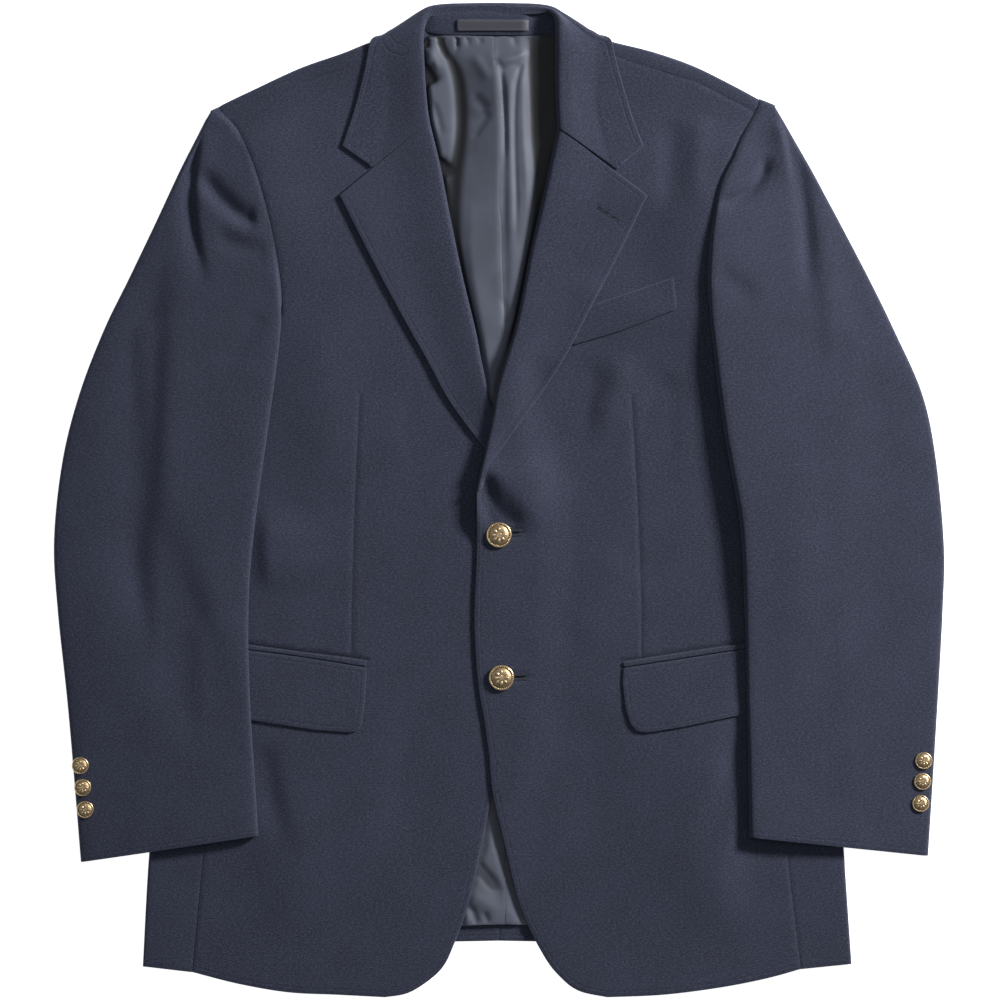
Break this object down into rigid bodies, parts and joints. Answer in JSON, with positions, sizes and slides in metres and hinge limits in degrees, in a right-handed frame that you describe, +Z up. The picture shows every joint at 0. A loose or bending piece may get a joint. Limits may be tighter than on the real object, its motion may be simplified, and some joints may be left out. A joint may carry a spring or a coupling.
{
  "type": "sport coat laid flat",
  "caption": "Single-breasted sport coat laid flat on its back, with notched lapels, flap pockets, a breast welt pocket and antique brass shank buttons.",
  "frame": {"origin": "on the surface that the coat lies on, under the middle of its outline", "axes": "+X to the wearer's left, +Y to the collar, +Z up from the surface"},
  "size_m": [0.7303, 0.8158, 0.0149],
  "materials": {
    "cloth": "navy hopsack wool",
    "lining": "grey-blue satin",
    "label": "plain woven tape",
    "button_metal": "antique brass, satin"
  },
  "bodies": {
    "root": {"back_left": "cloth", "back_right": "cloth", "back_lining_left": "lining", "back_lining_right": "lining", "side_left": "cloth", "side_right": "cloth", "front_left": "cloth", "front_right": "cloth", "lapel_left": "cloth", "lapel_right": "cloth", "collar": "cloth", "collar_stand": "cloth", "neck_label": "label", "top_sleeve_left": "cloth", "top_sleeve_right": "cloth", "under_sleeve_left": "cloth", "under_sleeve_right": "cloth", "pocket_flap_left": "cloth", "pocket_flap_right": "cloth", "pocket_jet_left": "cloth", "pocket_jet_right": "cloth", "chest_welt": "cloth", "front_button_1": "button_metal", "front_button_2": "button_metal", "cuff_button_left_1": "button_metal", "cuff_button_left_2": "button_metal", "cuff_button_left_3": "button_metal", "cuff_button_right_1": "button_metal", "cuff_button_right_2": "button_metal", "cuff_button_right_3": "button_metal"}
  },
  "joints": []
}
